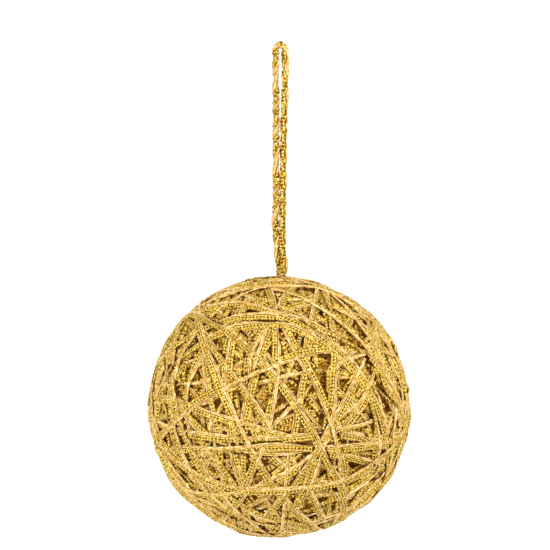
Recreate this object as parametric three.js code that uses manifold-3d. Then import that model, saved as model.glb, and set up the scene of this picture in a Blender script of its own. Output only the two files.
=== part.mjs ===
// Jute ball ornament: a ball wound from one long jute and gold cord, hanging from a loop of the same cord.
// Millimetres, Z up, the front faces -Y. The origin is the hang point, inside the fold at the top of the loop.
import * as THREE from "three";
import { mergeVertices } from "three/addons/utils/BufferGeometryUtils.js";
import Module from "manifold-3d";

// Driving dimensions
const BALL_DIAMETER = 100.4;
const HANG_POINT_TO_BALL_CENTRE = 137.7;
const BALL_SIDE_SHIFT = -0.4;
const CORD_WIDTH = 3.6;
const CORD_CROWN_WIDTH = 2.2;
const DEEP_WINDINGS_DEPTH = 1.6;
const OLDEST_WINDING_DEPTH = 1.1;
const WINDING_ROOT_DEPTH = 3;
const WINDING_STEPS = 26;
const DEEP_WINDINGS_DETAIL = 3;
const LOOP_CORD_DIAMETER = 2.3;
const LOOP_CORD_SIDES = 8;
const LOOP_STEPS = 48;
const LOOP_FOOT = -87.8;

const ballRadius = BALL_DIAMETER / 2;
const ballCentre = new THREE.Vector3(BALL_SIDE_SHIFT, 0, -HANG_POINT_TO_BALL_CENTRE);

// The main windings, oldest first, as they run across the front of the ball. heading is their direction in
// degrees up from the right. middle and edge are how far they run to the left of the ball's centre, seen
// along that heading, at their middle and where they go round the edge of the ball.
const MAIN_WINDINGS = [
  { heading: 8, middle: -46, edge: 0 },
  { heading: 0, middle: 46, edge: 4 },
  { heading: 155, middle: -35, edge: 2 },
  { heading: 162, middle: 10, edge: 9 },
  { heading: 2, middle: -16, edge: -12 },
  { heading: 90, middle: 0.8, edge: -0.8 },
  { heading: 125, middle: 36, edge: 4 },
  { heading: 20, middle: 17, edge: -2 },
  { heading: 0, middle: -32, edge: 5 },
  { heading: 140, middle: -31, edge: -2 },
  { heading: 128, middle: -5, edge: 8 },
  { heading: 118, middle: 17, edge: 9 },
  { heading: 59, middle: -21, edge: -14 },
];

// The middle of the loop's cord: up the left leg, over the fold and down the right leg, with the feet side by
// side on the top of the ball. Each point is [right, back, up] from the hang point.
const LOOP_ROUTE = [
  [-0.35, 1, LOOP_FOOT],
  [-0.8, 0.9, -83],
  [-1.4, 0.6, -77],
  [-1.75, 0.4, -69],
  [-1.5, 0.2, -57],
  [-1.55, 0.1, -43],
  [-1.45, 0, -29],
  [-1.45, 0, -18],
  [-1.7, 0, -9],
  [-1.6, 0, -3],
  [-1.6, 0, -0.6],
  [-1.15, 0, 0.65],
  [0, 0, LOOP_CORD_DIAMETER / 2],
  [1.15, 0, 0.65],
  [1.6, 0, -0.6],
  [1.6, 0, -3],
  [1.6, 0, -9],
  [1.7, 0, -18],
  [1.2, 0, -29],
  [1.05, -0.1, -43],
  [1.1, -0.2, -57],
  [1, -0.5, -69],
  [1.35, -0.8, -77],
  [1.95, -1, -83],
  [1.15, -1, LOOP_FOOT],
];

const wasm = await Module();
wasm.setup();

function toSolid(geometry) {
  const bare = geometry.clone();
  bare.deleteAttribute("normal");
  bare.deleteAttribute("uv");
  const merged = mergeVertices(bare, 1e-4);
  return new wasm.Manifold(new wasm.Mesh({
    numProp: 3,
    vertProperties: new Float32Array(merged.attributes.position.array),
    triVerts: new Uint32Array(merged.index.array),
  }));
}

function toGeometry(solid) {
  const mesh = solid.getMesh();
  const geometry = new THREE.BufferGeometry();
  geometry.setAttribute("position", new THREE.BufferAttribute(mesh.vertProperties, 3));
  geometry.setIndex(new THREE.BufferAttribute(mesh.triVerts, 1));
  geometry.computeVertexNormals();
  return geometry;
}

// The circle on the ball that a winding follows: its axis and how far along the axis its plane lies
function windingPlane({ heading, middle, edge }) {
  const angle = THREE.MathUtils.degToRad(heading);
  const left = new THREE.Vector3(-Math.sin(angle), 0, Math.cos(angle));
  const forward = new THREE.Vector3(0, -1, 0);
  const depthAtMiddle = Math.sqrt(ballRadius ** 2 - middle ** 2);
  const axis = left.clone().multiplyScalar(depthAtMiddle).addScaledVector(forward, edge - middle).normalize();
  return { axis, offset: axis.dot(left) * edge };
}

// One turn of cord: a closed band, narrower at its crown than at its root, which is sunk in the ball
function windingGeometry(winding, crownRadius) {
  const { axis, offset } = windingPlane(winding);
  const across = new THREE.Vector3(0, 1, 0).cross(axis).normalize();
  const along = new THREE.Vector3().crossVectors(axis, across);
  const section = [
    [-CORD_WIDTH / 2, -WINDING_ROOT_DEPTH],
    [CORD_WIDTH / 2, -WINDING_ROOT_DEPTH],
    [CORD_CROWN_WIDTH / 2, 0],
    [-CORD_CROWN_WIDTH / 2, 0],
  ];
  const positions = [];
  const triangles = [];
  const tilt = Math.asin(offset / crownRadius);
  for (let step = 0; step < WINDING_STEPS; step++) {
    const turn = (2 * Math.PI * step) / WINDING_STEPS;
    const outward = across.clone().multiplyScalar(Math.cos(turn)).addScaledVector(along, Math.sin(turn));
    const up = outward.clone().multiplyScalar(Math.cos(tilt)).addScaledVector(axis, Math.sin(tilt));
    const side = axis.clone().multiplyScalar(Math.cos(tilt)).addScaledVector(outward, -Math.sin(tilt));
    for (const [sideways, outwards] of section) {
      const point = up.clone().multiplyScalar(crownRadius + outwards).addScaledVector(side, sideways);
      positions.push(...point.toArray());
    }
    const ring = step * section.length;
    const nextRing = ((step + 1) % WINDING_STEPS) * section.length;
    for (let corner = 0; corner < section.length; corner++) {
      const nextCorner = (corner + 1) % section.length;
      triangles.push(ring + corner, ring + nextCorner, nextRing + nextCorner);
      triangles.push(ring + corner, nextRing + nextCorner, nextRing + corner);
    }
  }
  const geometry = new THREE.BufferGeometry();
  geometry.setAttribute("position", new THREE.Float32BufferAttribute(positions, 3));
  geometry.setIndex(triangles);
  return geometry;
}

// The deeper windings as one round mass, and the main windings over it, each a little outside the one before
function woundBallGeometry() {
  const deepRadius = ballRadius - DEEP_WINDINGS_DEPTH;
  let ball = toSolid(new THREE.IcosahedronGeometry(deepRadius, DEEP_WINDINGS_DETAIL));
  MAIN_WINDINGS.forEach((winding, order) => {
    const depth = OLDEST_WINDING_DEPTH * (1 - order / (MAIN_WINDINGS.length - 1));
    ball = ball.add(toSolid(windingGeometry(winding, ballRadius - depth)));
  });
  return toGeometry(ball);
}

// The loop as a plain tube along its route
function loopGeometry() {
  const section = new THREE.Shape();
  for (let side = 0; side < LOOP_CORD_SIDES; side++) {
    const angle = (2 * Math.PI * (side + 0.5)) / LOOP_CORD_SIDES;
    const x = (LOOP_CORD_DIAMETER / 2) * Math.cos(angle);
    const y = (LOOP_CORD_DIAMETER / 2) * Math.sin(angle);
    if (side === 0) {
      section.moveTo(x, y);
    } else {
      section.lineTo(x, y);
    }
  }
  section.closePath();
  const route = new THREE.CatmullRomCurve3(LOOP_ROUTE.map((point) => new THREE.Vector3(...point)));
  return new THREE.ExtrudeGeometry(section, { steps: LOOP_STEPS, extrudePath: route });
}

const cordMaterial = new THREE.MeshStandardMaterial({ color: 0xc29e53, roughness: 0.7, metalness: 0.15 });
const loopMaterial = new THREE.MeshStandardMaterial({ color: 0xccaa61, roughness: 0.7, metalness: 0.15 });

const woundBall = new THREE.Mesh(woundBallGeometry(), cordMaterial);
woundBall.name = "wound_ball";
woundBall.position.copy(ballCentre);

const hangingLoop = new THREE.Mesh(loopGeometry(), loopMaterial);
hangingLoop.name = "hanging_loop";

const ornament = new THREE.Group();
ornament.add(woundBall, hangingLoop);

export default ornament;
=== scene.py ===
import math

import bpy
import numpy as np
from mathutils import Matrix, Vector


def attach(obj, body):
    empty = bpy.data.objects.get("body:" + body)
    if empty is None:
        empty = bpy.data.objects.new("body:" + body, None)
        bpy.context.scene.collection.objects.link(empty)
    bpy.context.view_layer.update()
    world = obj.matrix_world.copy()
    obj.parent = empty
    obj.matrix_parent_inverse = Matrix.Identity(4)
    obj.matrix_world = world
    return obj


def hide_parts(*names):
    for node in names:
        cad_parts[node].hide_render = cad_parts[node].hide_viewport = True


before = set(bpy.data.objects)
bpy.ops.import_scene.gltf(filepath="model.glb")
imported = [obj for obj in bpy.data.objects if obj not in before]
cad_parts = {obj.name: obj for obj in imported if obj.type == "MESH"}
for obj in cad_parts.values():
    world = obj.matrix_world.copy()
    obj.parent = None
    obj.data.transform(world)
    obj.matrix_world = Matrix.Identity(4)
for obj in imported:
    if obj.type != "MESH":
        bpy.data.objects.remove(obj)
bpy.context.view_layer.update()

MM = 0.001
RANDOM_SEED = 7

# The ball, as the solids have it, and where the loop leaves it
BALL_RADIUS = 50.2 * MM
BALL_CENTRE = np.array([-0.4, 0.0, -137.7]) * MM

# The ball is a little flatter low on its right: the middle of that place, how far round it goes, and how
# much of its distance from the ball's centre it loses
FLATTER_PLACE = np.array([0.29, 0, -0.957])
FLATTER_REACH = math.radians(38)
FLATTER_SHARE = 0.024

# The flat cord. Its face has two tan jute strands along one side and a ladder of gold thread along the
# other, and its back is all gold thread.
CORD_WIDTH = 3.5 * MM
STRAND_RADIUS = 0.34 * MM
STRAND_PLACES = (-1.40 * MM, -0.75 * MM)
STRAND_SIDES = 6

# The tan side can tuck under: from how far across the cord on, and the shares of what lies past that by
# which it goes in and down
TUCK_EDGE = 0.4 * MM
TUCK_WIDTH = 0.6
TUCK_DEPTH = 0.6

# The ladder of gold thread: how far apart its rungs are, how many rows of points each takes, which of
# these rows lie open, how deep the thread dips at an open hole and at a closed one, and how uneven the
# thread is sideways for how uneven it is outwards
RUNG_SPACING = 1.34 * MM
ROWS_PER_RUNG = 4
OPEN_ROWS = (1, 2)
OPEN_DIP = 1.1
CLOSED_DIP = 0.3
SIDEWAYS_UNEVENNESS = 0.7

# Columns of gold thread: how far across the cord, how far out at a rung and how far out at a hole, all in
# millimetres, how many rows the rungs are shifted along, and whether the column runs through the holes
FACE_COLUMNS = (
    (-0.40, -0.30, -0.30, 0, False),
    (-0.06, 0.36, 0.12, 0, False),
    (0.38, 0.20, -0.06, 0, False),
    (0.66, 0.12, -0.42, 0, True),
    (0.94, 0.20, -0.06, 0, False),
    (1.38, 0.40, 0.06, 0, False),
    (1.74, -0.30, -0.30, 0, False),
)
LOWER_COLUMNS = (
    (-0.40, -0.30, -0.30, 0, False),
    (-0.02, 0.36, 0.10, 0, False),
    (0.66, 0.16, -0.36, 0, True),
    (1.34, 0.40, 0.04, 0, False),
    (1.74, -0.30, -0.30, 0, False),
)
BACK_COLUMNS = (
    (-1.62, -0.30, -0.30, 0, False),
    (-1.24, 0.36, 0.20, 0, False),
    (-0.86, 0.18, 0.00, 0, False),
    (-0.58, 0.12, -0.38, 0, True),
    (-0.30, 0.20, 0.04, 0, False),
    (0.14, 0.36, 0.22, 1, False),
    (0.58, 0.14, -0.10, 2, False),
    (1.06, 0.38, 0.20, 2, False),
    (1.46, -0.30, -0.30, 2, False),
)

# How a turn of cord lies.
# columns: its gold thread
# width: its least and its greatest share of the cord's full width
# roll: how far it rolls about its middle
# wander: how far it strays to the side
# curl: how far its edges curl under
# uneven: how uneven its gold thread is
# open: the share of its ladder's holes that are open
# step: how much higher the cord that crosses it lies
# sag: how much of the way down into the gaps it spans it sinks
# tuck: the middle of how far its tan side tucks under, from not at all (0) to all the way (1)
MAIN_LIE = {
    "columns": FACE_COLUMNS,
    "width": (0.92, 1.04),
    "roll": math.radians(15),
    "wander": 0.18 * MM,
    "curl": 0.15 * MM,
    "uneven": 0.05 * MM,
    "open": 0.9,
    "step": 0.5 * MM,
    "sag": 0.45,
    "tuck": 0.1,
}
LOWER_LIE = {
    "columns": LOWER_COLUMNS,
    "width": (0.66, 0.9),
    "roll": math.radians(24),
    "wander": 0.5 * MM,
    "curl": 0.45 * MM,
    "uneven": 0.09 * MM,
    "open": 0.6,
    "step": 0.45 * MM,
    "sag": 0.8,
    "tuck": 0.2,
}

# A turn's roll, wander and tuck change in waves: the fewest that go round the ball, and for each of the
# three the number they stay under. The tuck spreads this far from its middle.
FEWEST_WAVES = 2
ROLL_WAVES = 12
WANDER_WAVES = 9
TUCK_WAVES = 14
TUCK_SPREAD = 0.5

# How the ball is wound, from the inside out: deep turns, lower turns, then the main windings. A lower turn
# is the best of a few ways tried, passes the ball's centre this far off, and now and then shows its back.
CORE_RADIUS = 39.0 * MM
DEEP_TURNS = 105
LOWER_TURNS = 200
TURN_CHOICES = 12
TURN_OFFSET = 6 * MM
BACK_SHARE = 0.1

# A closed skin stands for the deep turns and this many lower turns, a little under how far they reach
SKIN_TURNS = 150
SKIN_DEPTH = 0.7 * MM
SKIN_DETAIL = 7

# How finely the ball's height and a turn's course are worked out
GRID_ROWS = 420
GRID_COLUMNS = 840
TURN_SAMPLES = 240

# Where a turn rests on what lies under it, and how far from its middle it may cover what lies there, both
# as shares of its width. A turn's angles are counted from a place square to the starting direction.
SUPPORTS = (-0.36, -0.18, 0, 0.18, 0.36)
NEARBY = 0.6
STARTING_DIRECTION = (0.31, 0.87, 0.38)

# What reaches out past the first of these heights is pressed down, so that it stays below the second
SQUEEZE_FROM = 48 * MM
SQUEEZE_LIMIT = 50.3 * MM

# Cord that lies this deep under its surroundings is left out, and the rest is shared out over a few layers
BURIED_DEPTH = 0.35 * MM
DRAWN_LAYERS = 5

# Each turn takes its fibres and glints from one of this many parts of their pattern
CORD_PATTERNS = 1000

# The shade in a cord's creases and between the cords: its tone, then where it is darkest and where it
# ends. The first is measured out from the cord's middle, and the second from the ball's centre.
WHITE = (1, 1, 1, 1)
CREASE_TONE = (0.34, 0.19, 0.005, 1)
CREASE_DEPTH = -0.32 * MM
CREST_HEIGHT = 0.22 * MM
DEEP_TONE = (0.86, 0.68, 0.28, 1)
DEEP_TONE_HEIGHT = 46.5 * MM
FULL_TONE_HEIGHT = 49.4 * MM

# The photograph's frame: how wide it is at the ornament and in pixels, and where it was taken from
FRAME_WIDTH = 210.7 * MM
PHOTO_WIDTH = 550
CAMERA_DISTANCE = 0.85
CAMERA_PLACE = np.array([-1.9 * MM, -CAMERA_DISTANCE, -87.0 * MM])
SENSOR_WIDTH = 36

# The main windings, oldest first, as they were seen to run across the front of the ball: whether their tan
# strands are on the left along the way, then places that they pass, as pixels to the right and down in the
# photograph. The rest of a winding goes on round the ball in the plane that suits these places best.
MAIN_WINDINGS = (
    (False, (154, 405), (160, 367), (168, 347), (179, 328), (205, 301)),
    (True, (160, 450), (176, 478), (199, 502), (228, 521), (262, 532)),
    (False, (385, 337), (400, 363), (404, 379), (406, 396), (403, 430)),
    (False, (403, 432), (390, 467), (368, 496), (338, 515), (303, 525)),
    (False, (177, 480), (298, 513), (399, 441)),
    (False, (202, 330), (205, 346), (208, 380), (209, 395)),
    (True, (229, 338), (224, 366), (226, 402)),
    (False, (268, 330), (257, 362), (248, 402)),
    (True, (236, 380), (256, 406), (270, 430)),
    (False, (229, 428), (233, 455), (242, 485)),
    (False, (187, 417), (200, 440), (207, 448), (214, 458), (230, 483)),
    (True, (345, 297), (364, 315), (371, 326), (378, 350)),
    (True, (316, 287), (328, 311), (331, 325)),
    (False, (366, 346), (380, 351), (388, 360), (398, 385), (401, 400)),
    (True, (277, 328), (277, 360), (275, 380), (266, 427)),
    (False, (318, 293), (312, 325), (306, 350), (299, 402)),
    (True, (336, 357), (334, 377), (332, 400)),
    (True, (270, 484), (300, 469), (315, 456)),
    (True, (200, 411), (237, 423), (280, 436), (310, 446)),
    (True, (333, 433), (362, 427), (372, 423)),
    (True, (185, 450), (215, 451), (265, 447), (345, 448), (388, 445)),
    (False, (285, 329), (301, 357), (324, 401), (340, 448), (344, 480)),
    (False, (160, 434), (205, 398), (250, 374), (295, 356), (355, 348)),
    (False, (360, 375), (337, 417), (306, 468), (290, 490)),
    (True, (180, 322), (171, 360), (177, 415), (199, 466), (214, 487)),
    (False, (163, 446), (185, 468), (215, 489), (258, 516), (290, 523)),
    (True, (178, 357), (220, 331), (265, 322), (293, 326), (330, 347)),
    (False, (363, 340), (388, 378), (395, 393)),
    (False, (330, 292), (358, 317), (380, 352), (397, 392), (397, 432)),
    (True, (152, 427), (165, 465), (192, 500), (212, 517), (262, 535)),
    (True, (320, 327), (345, 339), (366, 353), (393, 386), (403, 408)),
    (True, (207, 306), (268, 310), (330, 343), (367, 382), (388, 442)),
    (False, (399, 452), (392, 470), (378, 487), (335, 518), (310, 527)),
    (False, (373, 317), (387, 333), (397, 355), (407, 402), (406, 423)),
    (True, (150, 402), (152, 378), (160, 357), (185, 317), (200, 303)),
    (False, (215, 297), (245, 288), (275, 284), (320, 288), (350, 301)),
    (True, (197, 310), (211, 365), (236, 422), (269, 482), (308, 523)),
    (True, (200, 478), (240, 489), (300, 490), (350, 481), (377, 462)),
    (True, (205, 318), (262, 362), (293, 401), (319, 445), (347, 508)),
)

# How strongly a winding is drawn to a plane through the ball's centre, and how far past its places it gets
# back to its own plane
PLANE_STIFFNESS = 0.001
ROUTE_FADE = math.radians(25)

# The loop is the same cord, rolled up. A whole twist takes this length.
LOOP_DIAMETER = 2.9 * MM
LOOP_FLATNESS = 0.12
LOOP_TWIST = 10.8 * MM

# On the way up the loop's cord winds round and round, from a starting angle and with waves of an angle and
# a length. On the way down it swings about a middle angle, after a number of whole turns. It changes over
# past the fold, along the fade's length. The angles are in radians.
LOOP_TWIST_START = 2.2
LOOP_TWIST_WAVES = ((1.1, 31 * MM), (0.7, 17 * MM))
LOOP_SWING_MIDDLE = 0.7
LOOP_SWING = 0.9
LOOP_WHOLE_TURNS = 8
LOOP_TWIST_FADE = 7 * MM

# The loop's strands and gold thread. Their places round the middle of the cord are in radians. They are
# shaded as if they lay a little deeper in the cord, by the creasing.
LOOP_STRAND_RADIUS = 0.5 * MM
LOOP_STRAND_SIDES = 8
LOOP_STRAND_PLACES = (-0.42, 0.42)
LOOP_THREAD_SPAN = (0.9, 5.4)
LOOP_THREAD_DEPTH = 0.38 * MM
LOOP_THREAD_PATTERN = 51
LOOP_CREASING = 0.1 * MM
LOOP_LIE = {"uneven": 0.1 * MM, "open": 0.85}

# The middle of the loop's cord, close to the solid's: [right, back, up] in millimetres from the hang point
LOOP_FOOT = -87.8
LOOP_ROUTE = (
    (0, 1, LOOP_FOOT),
    (-0.35, 0.9, -83),
    (-0.95, 0.6, -77),
    (-1.75, 0.4, -69),
    (-1.5, 0.2, -57),
    (-1.55, 0.1, -43),
    (-1.45, 0, -29),
    (-1.45, 0, -18),
    (-1.7, 0, -9),
    (-1.6, 0, -3),
    (-1.6, 0, -0.6),
    (-1.15, 0, 0.65),
    (0, 0, 1.15),
    (1.2, 0, 0.65),
    (1.85, 0, -0.6),
    (1.95, 0, -3),
    (1.95, 0, -9),
    (1.85, 0, -18),
    (1.5, 0, -29),
    (1.25, -0.1, -43),
    (1.1, -0.2, -57),
    (0.95, -0.5, -69),
    (1.0, -0.8, -77),
    (1.65, -1, -83),
    (0.7, -1, LOOP_FOOT),
)
ROUTE_STEPS = 16

# The stage: a pale floor, two lights with their places, sizes and powers, and a sky from straight below
# (0) to straight above (1)
FLOOR_HEIGHT = -0.45
FLOOR_RADIUS = 1.6
FLOOR_SIDES = 96
FLOOR_COLOUR = (0.9, 0.9, 0.9, 1)
LIGHTS = (
    ("key", (0.7, -0.9, 0.6), 0.5, 12),
    ("fill", (-0.9, -0.7, 0.1), 0.7, 6),
)
SKY_STOPS = (
    (0.2, (0.4, 0.4, 0.41, 1)),
    (0.38, WHITE),
    (0.68, WHITE),
    (0.9, (0.8, 0.8, 0.8, 1)),
)
SKY_STRENGTH = 1.15


def srgb(red, green, blue):
    """A colour as a photograph gives it, 0 to 255, as linear values."""
    def linear(value):
        value /= 255
        return value / 12.92 if value <= 0.04045 else ((value + 0.055) / 1.055) ** 2.4
    return (linear(red), linear(green), linear(blue), 1)


def normalised(vectors):
    return vectors / np.linalg.norm(vectors, axis=-1, keepdims=True)


def round_circle(count):
    """This many angles, spread evenly round a circle."""
    return np.arange(count) * math.tau / count


class Nodes:
    """Short ways to add shader nodes to one material or world."""

    def __init__(self, tree):
        self.tree = tree

    def add(self, kind, **values):
        node = self.tree.nodes.new(kind)
        for name, value in values.items():
            setattr(node, name, value)
        return node

    def link(self, source, target):
        self.tree.links.new(source, target)

    def product(self, vector, factors):
        """The vector, multiplied by factors that are given as three numbers or by another node."""
        node = self.add("ShaderNodeVectorMath", operation="MULTIPLY")
        self.link(vector, node.inputs[0])
        if isinstance(factors, tuple):
            node.inputs[1].default_value = factors
        else:
            self.link(factors, node.inputs[1])
        return node.outputs["Vector"]

    def noise(self, vector, scale, detail):
        node = self.add("ShaderNodeTexNoise")
        node.inputs["Scale"].default_value = scale
        node.inputs["Detail"].default_value = detail
        self.link(vector, node.inputs["Vector"])
        return node.outputs["Fac"]

    def cord_noise(self, along, across, detail):
        """Noise that follows the cord, with this many waves a metre along it and across it."""
        place = self.add("ShaderNodeAttribute", attribute_name="cord").outputs["Vector"]
        return self.noise(self.product(place, (along, across, 1)), 1, detail)

    def mixed(self, *parts):
        """The sum of these (value, share) parts."""
        total = None
        for value, share in parts:
            node = self.add("ShaderNodeMath", operation="MULTIPLY_ADD")
            node.inputs[1].default_value = share
            node.inputs[2].default_value = 0
            self.link(value, node.inputs[0])
            if total is not None:
                self.link(total, node.inputs[2])
            total = node.outputs[0]
        return total

    def ramp(self, value, *stops):
        """A colour ramp through (position, colour) stops."""
        node = self.add("ShaderNodeValToRGB")
        elements = node.color_ramp.elements
        while len(elements) < len(stops):
            elements.new(0.5)
        for element, (position, colour) in zip(elements, stops):
            element.position = position
            element.color = colour
        self.link(value, node.inputs["Fac"])
        return node.outputs["Color"]

    def part_way(self, value, start, end):
        """How far the value has come on the way from start (0) to end (1)."""
        node = self.add("ShaderNodeMapRange")
        node.inputs["From Min"].default_value = start
        node.inputs["From Max"].default_value = end
        self.link(value, node.inputs["Value"])
        return node.outputs["Result"]

    def toned(self, colour, attribute, low, high, low_tone):
        """The colour, toned where one of the mesh's values is low and as it is where that value is high."""
        value = self.add("ShaderNodeAttribute", attribute_name=attribute).outputs["Fac"]
        tone = self.ramp(self.part_way(value, low, high), (0, low_tone), (1, WHITE))
        return self.product(colour, tone)

    def shaded(self, colour):
        """The colour, deeper in a cord's creases and where a cord lies deep."""
        creased = self.toned(colour, "relief", CREASE_DEPTH, CREST_HEIGHT, CREASE_TONE)
        return self.toned(creased, "height", DEEP_TONE_HEIGHT, FULL_TONE_HEIGHT, DEEP_TONE)

    def bump(self, height, distance):
        node = self.add("ShaderNodeBump")
        node.inputs["Distance"].default_value = distance
        self.link(height, node.inputs["Height"])
        return node.outputs["Normal"]


def new_material(name):
    material = bpy.data.materials.new(name)
    material.use_nodes = True
    nodes = Nodes(material.node_tree)
    shader = material.node_tree.nodes["Principled BSDF"]
    return material, nodes, shader


def jute_material():
    """Tan jute: fine fibres along the strand, lighter and darker lengths, matt."""
    material, nodes, shader = new_material("tan_jute")
    fibres = nodes.cord_noise(along=420, across=3600, detail=3)
    spots = nodes.cord_noise(along=700, across=1100, detail=3)
    lengths = nodes.cord_noise(along=90, across=300, detail=1)
    colour = nodes.ramp(
        nodes.mixed((fibres, 0.5), (spots, 0.35), (lengths, 0.15)),
        (0.40, srgb(148, 102, 32)),
        (0.47, srgb(192, 151, 76)),
        (0.53, srgb(219, 184, 114)),
        (0.60, srgb(247, 225, 180)),
    )
    nodes.link(nodes.shaded(colour), shader.inputs["Base Color"])
    nodes.link(nodes.bump(fibres, distance=0.06 * MM), shader.inputs["Normal"])
    shader.inputs["Roughness"].default_value = 0.62
    shader.inputs["Specular IOR Level"].default_value = 0.08
    return material


def gold_material():
    """Metallised gold thread: painted glints and spots of painted shade that change within a fraction of a
    millimetre.
    """
    material, nodes, shader = new_material("gold_thread")
    glints = nodes.cord_noise(along=1900, across=2900, detail=3)
    # The pale stops paint glints and the dark stops paint shade into the thread's colour; the same pattern
    # also bumps it
    colour = nodes.ramp(
        glints,
        (0.40, srgb(96, 56, 0)),
        (0.465, srgb(188, 149, 4)),
        (0.53, srgb(233, 200, 70)),
        (0.60, srgb(255, 236, 170)),
    )
    nodes.link(nodes.shaded(colour), shader.inputs["Base Color"])
    nodes.link(nodes.bump(glints, distance=0.25 * MM), shader.inputs["Normal"])
    shader.inputs["Metallic"].default_value = 0.5
    shader.inputs["Roughness"].default_value = 0.36
    shader.inputs["Specular IOR Level"].default_value = 0.08
    shader.inputs["Specular Tint"].default_value = srgb(245, 208, 95)
    return material


def hole_material():
    """The shaded inside of the ladder's holes."""
    material, nodes, shader = new_material("ladder_hole")
    colour = nodes.ramp(
        nodes.cord_noise(along=700, across=700, detail=2),
        (0.35, srgb(84, 46, 0)),
        (0.65, srgb(140, 92, 14)),
    )
    nodes.link(colour, shader.inputs["Base Color"])
    shader.inputs["Roughness"].default_value = 0.8
    shader.inputs["Specular IOR Level"].default_value = 0
    return material


def skin_material():
    """The deepest turns that show through the gaps: brown and dull gold, in shade."""
    material, nodes, shader = new_material("deep_windings")
    place = nodes.add("ShaderNodeTexCoord").outputs["Object"]
    specks = nodes.noise(place, scale=1500, detail=3)
    colour = nodes.ramp(
        specks,
        (0.38, srgb(92, 48, 4)),
        (0.50, srgb(166, 112, 30)),
        (0.62, srgb(218, 172, 84)),
    )
    nodes.link(colour, shader.inputs["Base Color"])
    nodes.link(nodes.bump(specks, distance=0.4 * MM), shader.inputs["Normal"])
    shader.inputs["Roughness"].default_value = 0.7
    shader.inputs["Specular IOR Level"].default_value = 0
    return material


def settled(points):
    """Points round the ball's centre, brought in where the ball is flatter."""
    away = np.arccos(np.clip(normalised(points) @ FLATTER_PLACE, -1, 1)) / FLATTER_REACH
    brought_in = 0.5 + 0.5 * np.cos(math.pi * np.minimum(away, 1))
    return points * (1 - FLATTER_SHARE * brought_in)[:, None]


class MeshParts:
    """Grids of points round the ball's centre that are gathered and made into one mesh."""

    def __init__(self):
        self.points = []
        self.places = []
        self.faces = []
        self.slots = []
        self.count = 0

    def add_grid(self, points, places, keep, slots, wrap_columns, flip):
        """A grid that closes on itself along its rows, and across them too if its columns wrap. Which faces
        are kept and which slot each takes is given face by face, and flip turns them over."""
        rows, columns = points.shape[:2]
        across = np.arange(rows * columns).reshape(rows, columns) + self.count
        if wrap_columns:
            across = np.concatenate([across, across[:, :1]], axis=1)
        onward = np.roll(across, -1, axis=0)
        corners = [across[:, :-1], across[:, 1:], onward[:, 1:], onward[:, :-1]]
        if flip:
            corners.reverse()
        self.points.append(points.reshape(-1, 3))
        self.places.append(places.reshape(-1, 4))
        self.faces.append(np.stack(corners, axis=-1)[keep])
        self.slots.append(slots[keep])
        self.count += rows * columns

    def make(self, name, materials):
        used, faces = np.unique(np.concatenate(self.faces), return_inverse=True)
        faces = faces.reshape(-1, 4)
        points = np.concatenate(self.points)[used]
        places = np.concatenate(self.places)[used]
        mesh = bpy.data.meshes.new(name)
        mesh.vertices.add(len(used))
        mesh.vertices.foreach_set("co", (settled(points) + BALL_CENTRE).ravel())
        mesh.loops.add(faces.size)
        mesh.loops.foreach_set("vertex_index", faces.ravel())
        mesh.polygons.add(len(faces))
        mesh.polygons.foreach_set("loop_start", np.arange(0, faces.size, 4))
        mesh.polygons.foreach_set("material_index", np.concatenate(self.slots))
        mesh.polygons.foreach_set("use_smooth", np.ones(len(faces), bool))
        mesh.update(calc_edges=True)
        cord = mesh.attributes.new("cord", "FLOAT_VECTOR", "POINT")
        cord.data.foreach_set("vector", places[:, :3].ravel())
        for label, values in (("relief", places[:, 3]), ("height", np.linalg.norm(points, axis=1))):
            mesh.attributes.new(label, "FLOAT", "POINT").data.foreach_set("value", values)
        for material in materials:
            mesh.materials.append(material)
        piece = bpy.data.objects.new(name, mesh)
        bpy.context.collection.objects.link(piece)
        return piece


class Reach:
    """How far out from the ball's centre the cord laid so far reaches, over a grid of directions, and which
    turn lies on top there."""

    def __init__(self):
        latitude = (np.arange(GRID_ROWS) + 0.5) / GRID_ROWS * math.pi - math.pi / 2
        longitude = (np.arange(GRID_COLUMNS) + 0.5) / GRID_COLUMNS * math.tau - math.pi
        latitude, longitude = np.meshgrid(latitude, longitude, indexing="ij")
        level = np.cos(latitude)
        self.directions = np.stack(
            [level * np.cos(longitude), level * np.sin(longitude), np.sin(latitude)], axis=-1
        ).reshape(-1, 3)
        self.height = np.full(len(self.directions), CORE_RADIUS)
        self.on_top = np.zeros(len(self.directions), int)
        self.laid = 0

    def cells(self, directions):
        """The cell of the grid that each direction falls in."""
        latitude = np.arcsin(np.clip(directions[..., 2], -1, 1))
        longitude = np.arctan2(directions[..., 1], directions[..., 0])
        row = np.minimum(((latitude / math.pi + 0.5) * GRID_ROWS).astype(int), GRID_ROWS - 1)
        column = ((longitude / math.tau + 0.5) * GRID_COLUMNS).astype(int) % GRID_COLUMNS
        return row * GRID_COLUMNS + column

    def at(self, directions):
        return self.height[self.cells(directions)]


def squeezed(radii):
    """Presses what stands high on the ball down, the highest the most, and keeps its order."""
    room = SQUEEZE_LIMIT - SQUEEZE_FROM
    above = np.maximum(radii - SQUEEZE_FROM, 0)
    return np.minimum(radii, SQUEEZE_FROM) + room * (1 - np.exp(-above / room))


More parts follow.
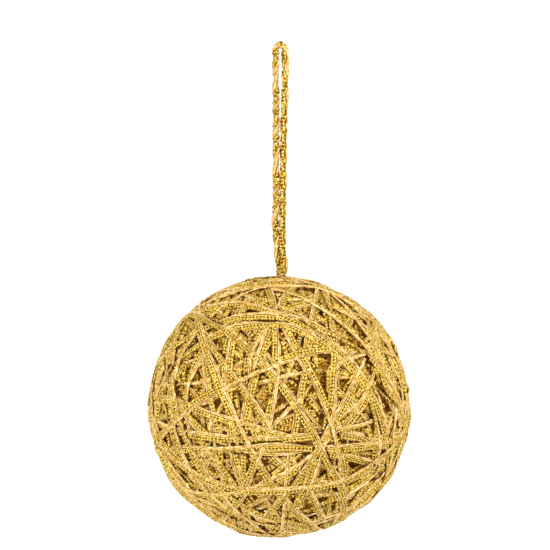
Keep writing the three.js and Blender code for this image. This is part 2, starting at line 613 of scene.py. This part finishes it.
def taut(angles, radii):
    """The radii of a string pulled tight round these points, at the same angles."""
    start = int(np.argmax(radii))
    x = radii * np.cos(angles)
    y = radii * np.sin(angles)
    count = len(angles)
    kept = [start]
    for step in range(1, count + 1):
        here = (start + step) % count
        while len(kept) > 1:
            a, b = kept[-2], kept[-1]
            turn = (x[b] - x[a]) * (y[here] - y[a]) - (y[b] - y[a]) * (x[here] - x[a])
            if turn > 0:
                break
            kept.pop()
        kept.append(here)
    result = radii.copy()
    for a, b in zip(kept[:-1], kept[1:]):
        span = (b - a) % count
        whole = (angles[b] - angles[a]) % math.tau
        for step in range(1, span):
            here = (a + step) % count
            part = (angles[here] - angles[a]) % math.tau
            below = radii[a] * math.sin(part) + radii[b] * math.sin(whole - part)
            result[here] = radii[a] * radii[b] * math.sin(whole) / below
    return result


class Turn:
    """One turn of cord round the ball, close to one plane. Its axis is that plane's, its offset is how far
    along the axis it passes the ball's centre, and its left side is towards the axis."""

    angles = round_circle(TURN_SAMPLES)

    def __init__(self, axis, offset, lie, tan_on_left, back, random):
        self.axis = normalised(axis)
        self.lie = lie
        self.width = CORD_WIDTH * random.uniform(*lie["width"])
        self.tan_side = 1 if tan_on_left else -1
        self.back = back
        self.pattern = random.integers(CORD_PATTERNS)
        self.across = normalised(np.cross(self.axis, STARTING_DIRECTION))
        self.along = np.cross(self.axis, self.across)
        self.roll = self.waves(lie["roll"], ROLL_WAVES, random)
        self.offset = offset + self.waves(lie["wander"], WANDER_WAVES, random)
        self.tuck = np.clip(self.waves(TUCK_SPREAD, TUCK_WAVES, random) + lie["tuck"], 0, 1)
        self.radii = None
        self.order = None

    def waves(self, spread, limit, random):
        """Smooth ups and downs along the turn."""
        total = np.zeros(TURN_SAMPLES)
        for count in range(FEWEST_WAVES, limit):
            phase = random.uniform(0, math.tau)
            total += random.normal() * np.sin(count * self.angles + phase)
        return total * spread / total.std()

    def along_turn(self, values, angles):
        return np.interp(angles, self.angles, values, period=math.tau)

    def outward(self, angles):
        return np.cos(angles)[..., None] * self.across + np.sin(angles)[..., None] * self.along

    def under(self, reach, sideways):
        """How high the cord already laid stands under the turn, this far to one side of its middle."""
        tilt = ((self.offset + sideways) / BALL_RADIUS)[:, None]
        directions = self.outward(self.angles) * np.sqrt(1 - tilt * tilt) + self.axis * tilt
        return reach.at(directions)

    def lay(self, reach):
        """Pulls the turn tight over what lies under it, then counts it as laid."""
        step = self.lie["step"]
        supports = [self.under(reach, part * self.width) for part in SUPPORTS]
        height = np.max(supports, axis=0) + step / 2
        for smooth in (np.max, np.mean):
            height = smooth([np.roll(height, shift) for shift in (-1, 0, 1)], axis=0)
        lying = np.sqrt(height ** 2 - self.offset ** 2)
        stretched = taut(self.angles, lying)
        self.radii = stretched - self.lie["sag"] * (stretched - lying)

        level = reach.directions @ self.axis
        middle = self.offset.mean() / BALL_RADIUS
        spread = (np.ptp(self.offset) + NEARBY * self.width) / CORE_RADIUS
        cells = np.flatnonzero(np.abs(level - middle) < spread)
        spots = reach.directions[cells]
        turned = np.arctan2(spots @ self.along, spots @ self.across) % math.tau
        far = self.along_turn(np.hypot(self.radii, self.offset), turned)
        tilt = self.along_turn(self.offset, turned) / far
        sideways = (np.arcsin(level[cells]) - np.arcsin(tilt)) * far
        top = far + step / 2
        covered = (np.abs(sideways) < 0.5 * self.width) & (top > reach.height[cells])
        reach.laid += 1
        self.order = reach.laid
        reach.height[cells[covered]] = top[covered]
        reach.on_top[cells[covered]] = self.order

    def squeeze(self):
        far = squeezed(np.hypot(self.radii, self.offset))
        self.radii = np.sqrt(far ** 2 - self.offset ** 2)

    def surface(self, angles, sideways, outward):
        """Points of the cord's surface at these angles, from its middle: to its left, and outwards."""
        radii = self.along_turn(self.radii, angles)[:, None]
        roll = self.along_turn(self.roll, angles)[:, None]
        offset = self.along_turn(self.offset, angles)[:, None]
        tuck = self.along_turn(self.tuck, angles)[:, None]
        middle = self.outward(angles) * radii + self.axis * offset
        forward = normalised(np.roll(middle, -1, axis=0) - np.roll(middle, 1, axis=0))
        left = normalised(np.cross(normalised(middle), forward))
        out = np.cross(forward, left)
        rolled_left = left * np.cos(roll) + out * np.sin(roll)
        rolled_out = out * np.cos(roll) - left * np.sin(roll)
        tucked = np.maximum(sideways * self.tan_side - TUCK_EDGE, 0) * tuck
        curled = outward - self.lie["curl"] * (2 * sideways / CORD_WIDTH) ** 2 - TUCK_DEPTH * tucked
        narrowed = (sideways - TUCK_WIDTH * self.tan_side * tucked) * self.width / CORD_WIDTH
        return (
            middle[:, None, :]
            + rolled_left[:, None, :] * narrowed[..., None]
            + rolled_out[:, None, :] * curled[..., None]
        )

    def seen(self, reach, points, wrap_columns):
        """Which faces of a grid of points aren't covered by later turns or buried in what lies higher."""
        heights = np.linalg.norm(points, axis=-1)
        cells = reach.cells(points / heights[..., None])
        clear = (reach.on_top[cells] <= self.order) & (reach.height[cells] < heights + BURIED_DEPTH)
        clear = clear | np.roll(clear, 1, axis=0) | np.roll(clear, -1, axis=0)
        if wrap_columns:
            clear = clear | clear.any(axis=1, keepdims=True)
            clear = np.concatenate([clear, clear[:, :1]], axis=1)
        return clear[:, :-1] | clear[:, 1:]


def photo_directions(places):
    """The directions from the ball's centre in which the ball's front shows at these pixels."""
    across, down = (np.array(places) / PHOTO_WIDTH - 0.5).T * FRAME_WIDTH
    rays = normalised(np.stack([across, np.full(len(places), CAMERA_DISTANCE), -down], axis=1))
    start = CAMERA_PLACE - BALL_CENTRE
    nearest = -(rays @ start)
    inside = np.sqrt(np.maximum(nearest ** 2 - start @ start + BALL_RADIUS ** 2, 0))
    return normalised(start + rays * (nearest - inside)[:, None])


def main_turn(winding, random):
    """A turn that passes the places where the photograph shows it."""
    tan_on_left, *places = winding
    directions = photo_directions(places)
    middle = directions.mean(axis=0)
    share = len(places) / (len(places) + PLANE_STIFFNESS)
    spread = directions.T @ directions - len(places) * share * np.outer(middle, middle)
    axis = np.linalg.eigh(spread)[1][:, 0]
    axis *= np.sign(axis @ np.cross(directions[0], directions[-1]))
    offset = share * (axis @ middle) * BALL_RADIUS
    turn = Turn(axis, offset, MAIN_LIE, tan_on_left, False, random)
    angles = np.arctan2(directions @ turn.along, directions @ turn.across)
    angles = np.concatenate([[angles[0] - ROUTE_FADE], angles, [angles[-1] + ROUTE_FADE]])
    aside = np.pad(directions @ axis * BALL_RADIUS - offset, 1)
    turn.offset += np.interp(turn.angles, angles, aside, period=math.tau)
    return turn


def lower_turn(reach, random):
    """A turn that goes where the ball is lowest, out of a few ways tried."""
    best = None
    for _ in range(TURN_CHOICES):
        back = random.random() < BACK_SHARE
        turn = Turn(random.normal(size=3), random.normal() * TURN_OFFSET, LOWER_LIE, True, back, random)
        height = turn.under(reach, 0).mean()
        if best is None or height < best[0]:
            best = (height, turn)
    return best[1]


def wind_ball(random):
    """Winds the ball: the turns to be drawn, how high they reach, and how high the skin reaches."""
    reach = Reach()
    turns = []
    for _ in range(DEEP_TURNS):
        lower_turn(reach, random).lay(reach)
    for number in range(LOWER_TURNS):
        if number == SKIN_TURNS:
            skin_height = reach.height - SKIN_DEPTH
        turn = lower_turn(reach, random)
        turn.lay(reach)
        turns.append(turn)
    for winding in MAIN_WINDINGS:
        turn = main_turn(winding, random)
        turn.lay(reach)
        turns.append(turn)
    for turn in turns:
        turn.squeeze()
    reach.height = squeezed(reach.height)
    return turns, reach, skin_height


def thread_section(columns, rows, lie, random):
    """A band of gold thread: how far across and out its columns are at each row, and its faces in holes."""
    across, at_rung, at_hole, shift, through_holes = (np.array(values) for values in zip(*columns))
    row = np.arange(rows)[:, None] + shift
    rung = row // ROWS_PER_RUNG % (rows // ROWS_PER_RUNG)
    row %= ROWS_PER_RUNG
    open_rungs = random.random(rows // ROWS_PER_RUNG) < lie["open"]
    dip = np.where(open_rungs, OPEN_DIP, CLOSED_DIP)[rung]
    openness = dip * (0.5 - 0.5 * np.cos(math.tau * row / ROWS_PER_RUNG))
    outward = (at_rung + openness * (at_hole - at_rung)) * MM
    outward += random.normal(size=row.shape) * lie["uneven"]
    sideways = across * MM + random.normal(size=row.shape) * lie["uneven"] * SIDEWAYS_UNEVENNESS
    open_here = np.isin(row, OPEN_ROWS) & through_holes & open_rungs[rung]
    holes = (open_here[:, :-1] | open_here[:, 1:]).astype(int)
    return sideways, outward, holes


def cord_places(along, sideways, pattern, outward):
    """Where each point of a grid lies in its cord: how far along, across and out, and in which pattern."""
    along = np.tile(along[:, None], (1, sideways.shape[1]))
    return np.stack([along, sideways, np.full(along.shape, pattern), outward], axis=-1)


def add_turn(turn, reach, strands, threads, random):
    """Adds a turn's jute strands and gold thread, where they can be seen."""
    def add(parts, angles, sideways, outward, slots, wrap_columns):
        """Adds what can be seen of a grid, at these angles and this far to the side and out in the cord."""
        points = turn.surface(angles, -turn.tan_side * sideways, outward)
        places = cord_places(angles * BALL_RADIUS, sideways, turn.pattern, outward)
        keep = turn.seen(reach, points, wrap_columns)
        parts.add_grid(points, places, keep, slots, wrap_columns, turn.tan_side < 0)

    rungs = 2 * round(math.pi * turn.radii.mean() / RUNG_SPACING)
    angles = round_circle(rungs * ROWS_PER_RUNG)
    columns = BACK_COLUMNS if turn.back else turn.lie["columns"]
    sideways, outward, holes = thread_section(columns, len(angles), turn.lie, random)
    add(threads, angles, sideways, outward, holes, False)
    if turn.back:
        return

    angles = angles[:: 2 * ROWS_PER_RUNG]
    ring = np.tile(round_circle(STRAND_SIDES), (len(angles), 1))
    for place in STRAND_PLACES:
        sideways = place + STRAND_RADIUS * np.cos(ring)
        add(strands, angles, sideways, STRAND_RADIUS * np.sin(ring), np.zeros(ring.shape, int), True)


def finish_piece(piece, node):
    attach(piece, "root")
    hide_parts(node)


def make_ball(jute, gold, hole, random):
    """The ball: its turns in a few layers of jute and gold, over the skin."""
    turns, reach, skin_height = wind_ball(random)
    for layer in range(DRAWN_LAYERS):
        strands = MeshParts()
        threads = MeshParts()
        for turn in turns[layer::DRAWN_LAYERS]:
            add_turn(turn, reach, strands, threads, random)
        jute_piece = strands.make(f"jute_windings_{layer + 1}", [jute])
        gold_piece = threads.make(f"gold_windings_{layer + 1}", [gold, hole])
        finish_piece(jute_piece, "wound_ball")
        finish_piece(gold_piece, "wound_ball")
    reach.height = skin_height
    make_skin(reach)


def make_skin(reach):
    """The deepest turns as one closed skin, raised where each turn runs."""
    bpy.ops.mesh.primitive_ico_sphere_add(subdivisions=SKIN_DETAIL, radius=1)
    piece = bpy.context.object
    piece.name = "deep_windings"
    directions = np.empty(len(piece.data.vertices) * 3)
    piece.data.vertices.foreach_get("co", directions)
    directions = normalised(directions.reshape(-1, 3))
    points = settled(directions * reach.at(directions)[:, None]) + BALL_CENTRE
    piece.data.vertices.foreach_set("co", points.ravel())
    piece.data.materials.append(skin_material())
    finish_piece(piece, "wound_ball")


def smooth_route(points):
    """Points at even distances along a smooth curve through these ones, one for each row of thread."""
    ends = np.concatenate([[2 * points[0] - points[1]], points, [2 * points[-1] - points[-2]]])
    fine = []
    for a, b, c, d in zip(ends[:-3], ends[1:-2], ends[2:-1], ends[3:]):
        for part in np.arange(0, 1, 1 / ROUTE_STEPS):
            straight = 2 * b + (c - a) * part
            square = (2 * a - 5 * b + 4 * c - d) * part ** 2
            cube = (3 * b - a - 3 * c + d) * part ** 3
            fine.append(0.5 * (straight + square + cube))
    fine.append(points[-1])
    fine = np.array(fine)
    gone = np.concatenate([[0], np.cumsum(np.linalg.norm(np.diff(fine, axis=0), axis=1))])
    even = np.linspace(0, gone[-1], round(gone[-1] / RUNG_SPACING) * ROWS_PER_RUNG)
    return np.stack([np.interp(even, gone, fine[:, k]) for k in range(3)], axis=1), gone[-1]


def loop_twist(along):
    """The angle by which the loop's cord is turned about its middle, this far along it."""
    winding = LOOP_TWIST_START + along / LOOP_TWIST * math.tau
    for angle, wave in LOOP_TWIST_WAVES:
        winding += angle * np.sin(along / wave * math.tau)
    swinging = LOOP_SWING_MIDDLE + LOOP_SWING * np.sin(along / LOOP_TWIST * math.tau)
    swinging += math.tau * LOOP_WHOLE_TURNS
    fold = len(along) // 2
    swinging += (winding - swinging)[fold] * np.exp((along[fold] - along) / LOOP_TWIST_FADE)
    return np.concatenate([winding[:fold], swinging[fold:]])


def make_loop(jute, gold, hole, random):
    """The loop: the same cord rolled up, which winds up one leg and swings to and fro down the other."""
    route, length = smooth_route(np.array(LOOP_ROUTE) * MM)
    rows = len(route)
    forward = normalised(np.gradient(route, axis=0))
    back = np.array([0.0, 1.0, 0.0])
    side = normalised(back - forward * (forward @ back)[:, None])
    other = np.cross(forward, side)
    along = np.linspace(0, length, rows)
    turned = loop_twist(along)
    parts = MeshParts()

    def add(around, out, sideways, outward, pattern, slots, wrap_columns):
        """Adds a grid wound round the middle of the loop's cord, at these angles and this far out."""
        out = out * (1 + LOOP_FLATNESS * np.cos(2 * around))
        angle = (around + turned[:, None])[..., None]
        points = route[:, None, :] - BALL_CENTRE + out[..., None] * (
            np.cos(angle) * side[:, None, :] + np.sin(angle) * other[:, None, :]
        )
        keep = np.ones(slots.shape, bool)
        keep[-1] = False
        places = cord_places(along, sideways, pattern, outward - LOOP_CREASING)
        parts.add_grid(points, places, keep, slots, wrap_columns, False)

    sideways, outward, holes = thread_section(BACK_COLUMNS, rows, LOOP_LIE, random)
    span = np.tile(np.linspace(*LOOP_THREAD_SPAN, sideways.shape[1]), (rows, 1))
    out = LOOP_DIAMETER / 2 - LOOP_THREAD_DEPTH + outward
    add(span, out, sideways, outward, LOOP_THREAD_PATTERN, holes + 1, False)

    ring = np.tile(round_circle(LOOP_STRAND_SIDES), (rows, 1))
    centre = LOOP_DIAMETER / 2 - LOOP_STRAND_RADIUS
    x = centre + LOOP_STRAND_RADIUS * np.cos(ring)
    y = LOOP_STRAND_RADIUS * np.sin(ring)
    for pattern, place in enumerate(LOOP_STRAND_PLACES):
        around = place + np.arctan2(y, x)
        add(around, np.hypot(x, y), y, x - centre, pattern, np.zeros(ring.shape, int), True)

    piece = parts.make("twisted_loop", [jute, gold, hole])
    finish_piece(piece, "hanging_loop")


def make_camera():
    """A level camera with the photograph's frame."""
    data = bpy.data.cameras.new("camera")
    data.sensor_width = SENSOR_WIDTH
    data.lens = SENSOR_WIDTH * CAMERA_DISTANCE / FRAME_WIDTH
    camera = bpy.data.objects.new("camera", data)
    camera.location = CAMERA_PLACE
    camera.rotation_euler = (math.radians(90), 0, 0)
    bpy.context.collection.objects.link(camera)
    bpy.context.scene.camera = camera


def make_floor():
    bpy.ops.mesh.primitive_circle_add(vertices=FLOOR_SIDES, radius=FLOOR_RADIUS, fill_type="NGON")
    floor = bpy.context.object
    floor.name = "floor"
    floor.location = (0, 0, FLOOR_HEIGHT)
    material, _, shader = new_material("pale_floor")
    shader.inputs["Base Color"].default_value = FLOOR_COLOUR
    shader.inputs["Roughness"].default_value = 0.9
    floor.data.materials.append(material)


def make_lights():
    """The lights, turned towards the ball."""
    for name, place, size, power in LIGHTS:
        data = bpy.data.lights.new(name, "AREA")
        data.size = size
        data.energy = power
        light = bpy.data.objects.new(name, data)
        light.location = place
        towards = Vector(BALL_CENTRE) - Vector(place)
        light.rotation_euler = towards.to_track_quat("-Z", "Y").to_euler()
        bpy.context.collection.objects.link(light)


def make_sky():
    """A sky that is white round the horizon, grey below and pale grey above."""
    world = bpy.data.worlds.new("studio")
    world.use_nodes = True
    bpy.context.scene.world = world
    nodes = Nodes(world.node_tree)
    background = world.node_tree.nodes["Background"]
    parts = nodes.add("ShaderNodeSeparateXYZ")
    nodes.link(nodes.add("ShaderNodeTexCoord").outputs["Generated"], parts.inputs[0])
    height = nodes.part_way(parts.outputs["Z"], -1, 1)
    nodes.link(nodes.ramp(height, *SKY_STOPS), background.inputs["Color"])
    background.inputs["Strength"].default_value = SKY_STRENGTH


make_camera()
bpy.context.scene.view_settings.view_transform = "Standard"
jute = jute_material()
gold = gold_material()
hole = hole_material()
random = np.random.default_rng(RANDOM_SEED)
make_loop(jute, gold, hole, random)
make_ball(jute, gold, hole, random)
make_floor()
make_lights()
make_sky()
